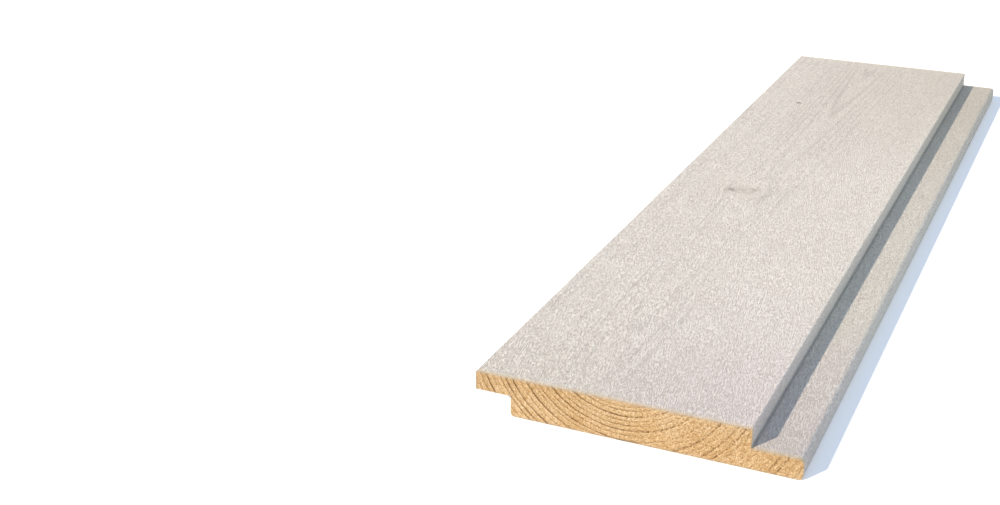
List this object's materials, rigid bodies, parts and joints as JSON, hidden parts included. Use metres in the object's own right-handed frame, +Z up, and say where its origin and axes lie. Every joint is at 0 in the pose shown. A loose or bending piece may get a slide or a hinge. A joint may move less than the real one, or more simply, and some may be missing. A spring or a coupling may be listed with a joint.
{
  "type": "rebated cladding board",
  "caption": "Straight softwood cladding board with a rebated lip on one long edge and a thin tongue on the other; laid boards lap and leave an open channel.",
  "frame": {"origin": "on the back face, under the middle of the board's length and overall width, as it lies face up on a level floor", "axes": "+X across the board, from the lip to the tongue; +Y along its length; +Z up, from the back to the face"},
  "size_m": [0.1484, 0.6, 0.019],
  "materials": {
    "whitewashed_softwood": "semi-opaque white stain on fine-sawn softwood, ends bare"
  },
  "bodies": {
    "root": {"cladding_board": "whitewashed_softwood"}
  },
  "joints": []
}
